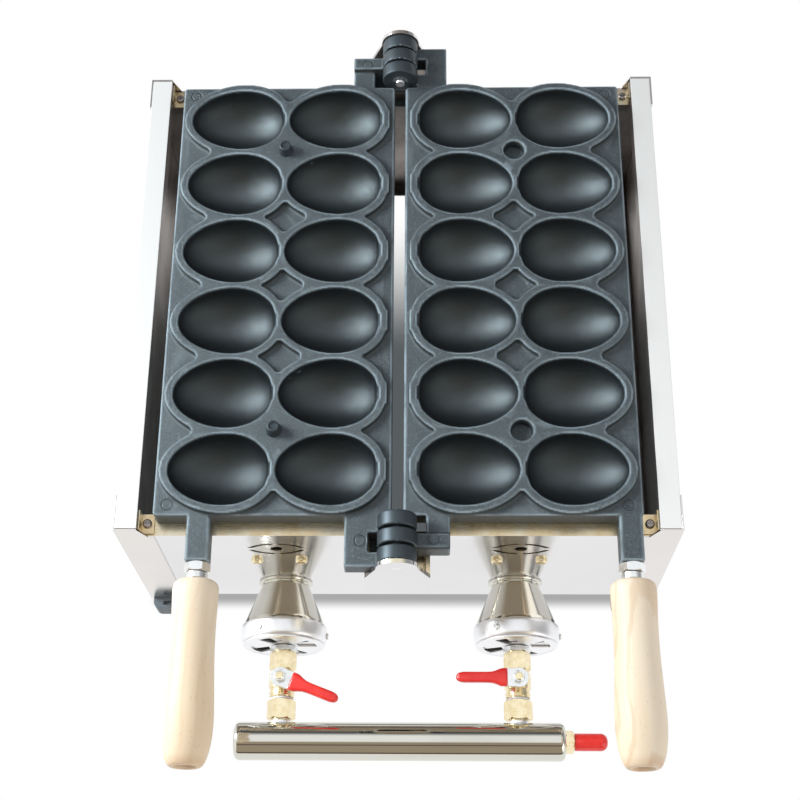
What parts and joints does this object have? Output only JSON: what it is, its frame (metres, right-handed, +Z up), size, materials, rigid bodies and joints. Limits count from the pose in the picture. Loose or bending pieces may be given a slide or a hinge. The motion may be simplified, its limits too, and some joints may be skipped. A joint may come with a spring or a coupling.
{
  "type": "gas waffle maker",
  "caption": "Tabletop gas waffle maker with two hinged egg cavity moulds on a sheet steel housing, wooden handles, burners, valves and a gas manifold",
  "frame": {"origin": "below the middle of the bounding box, on the plane of the feet", "axes": "+X to the right, +Y from the handles to the back, +Z up; the moulds hinge about a line along Y"},
  "size_m": [0.4072, 0.586, 0.2102],
  "materials": {
    "housing_steel": "bright stainless sheet",
    "tinted_steel": "stainless, gold from heat",
    "zinc": "zinc plated",
    "burner_steel": "dull, heat darkened",
    "nonstick_casting": "satin non-stick coat",
    "chrome": "polished",
    "brass": "machined",
    "red_vinyl": "soft gloss",
    "foot_plastic": "matt moulded",
    "beech": "pale turned wood"
  },
  "bodies": {
    "housing": {"front_panel": "housing_steel", "rear_panel": "housing_steel", "left_side_panel": "housing_steel", "right_side_panel": "housing_steel", "corner_posts": "housing_steel", "corner_tabs": "tinted_steel", "corner_screws": "zinc", "rubber_feet": "foot_plastic", "foot_screws": "zinc", "front_hinge_bracket": "housing_steel", "rear_hinge_bracket": "housing_steel", "bracket_rivets": "housing_steel", "front_hinge_pin": "zinc", "rear_hinge_pin": "zinc", "left_burner_tube": "burner_steel", "right_burner_tube": "burner_steel", "burner_hangers": "burner_steel", "hanger_screws": "brass", "burner_rests": "burner_steel", "left_mixer_bell": "chrome", "right_mixer_bell": "chrome", "rim_screws": "zinc", "left_gas_jet": "brass", "right_gas_jet": "brass", "shutter_lock_nuts": "zinc", "left_valve_body": "brass", "right_valve_body": "brass", "valve_unions": "brass", "manifold_pipe": "chrome", "manifold_end_caps": "chrome", "gas_inlet_fitting": "brass"},
    "left_mould": {"left_mould_plate": "nonstick_casting", "left_handle": "beech", "left_handle_stud": "zinc", "left_lock_nut": "zinc", "left_ferrule": "zinc", "left_end_nut": "zinc", "locating_pegs": "nonstick_casting"},
    "right_mould": {"right_mould_plate": "nonstick_casting", "right_handle": "beech", "right_handle_stud": "zinc", "right_lock_nut": "zinc", "right_ferrule": "zinc", "right_end_nut": "zinc"},
    "left_lever": {"left_valve_ball": "chrome", "left_valve_stem": "brass", "left_valve_lever": "zinc", "left_lever_sleeve": "red_vinyl", "left_stem_nut": "zinc"},
    "right_lever": {"right_valve_ball": "chrome", "right_valve_stem": "brass", "right_valve_lever": "zinc", "right_lever_sleeve": "red_vinyl", "right_stem_nut": "zinc"},
    "left_shutter": {"left_air_shutter": "zinc"},
    "right_shutter": {"right_air_shutter": "zinc"},
    "inlet_cap": {"gas_inlet_cap": "red_vinyl"}
  },
  "joints": [
    {"name": "left_mould_hinge", "type": "hinge", "parent": "housing", "child": "left_mould", "pos_m": [0, 0.06735, 0.19515], "axis": [0, 1, 0], "range_deg": [0, 180]},
    {"name": "right_mould_hinge", "type": "hinge", "parent": "housing", "child": "right_mould", "pos_m": [0, 0.06735, 0.19515], "axis": [0, -1, 0], "range_deg": [0, 180]},
    {"name": "left_valve_turn", "type": "hinge", "parent": "housing", "child": "left_lever", "pos_m": [-0.0904, -0.20599, 0.0575], "axis": [0, 0, 1], "range_deg": [-68.6, 21.4]},
    {"name": "right_valve_turn", "type": "hinge", "parent": "housing", "child": "right_lever", "pos_m": [0.0904, -0.20599, 0.0575], "axis": [0, 0, 1], "range_deg": [0, 90]},
    {"name": "left_shutter_turn", "type": "hinge", "parent": "housing", "child": "left_shutter", "pos_m": [-0.0904, -0.17695, 0.0575], "axis": [0, 1, 0], "range_deg": [-24, 21]},
    {"name": "right_shutter_turn", "type": "hinge", "parent": "housing", "child": "right_shutter", "pos_m": [0.0904, -0.17695, 0.0575], "axis": [0, 1, 0], "range_deg": [-24, 21]},
    {"name": "inlet_cap_slide", "type": "slide", "parent": "housing", "child": "inlet_cap", "axis": [1, 0, 0], "range_m": [0, 0.04]}
  ]
}
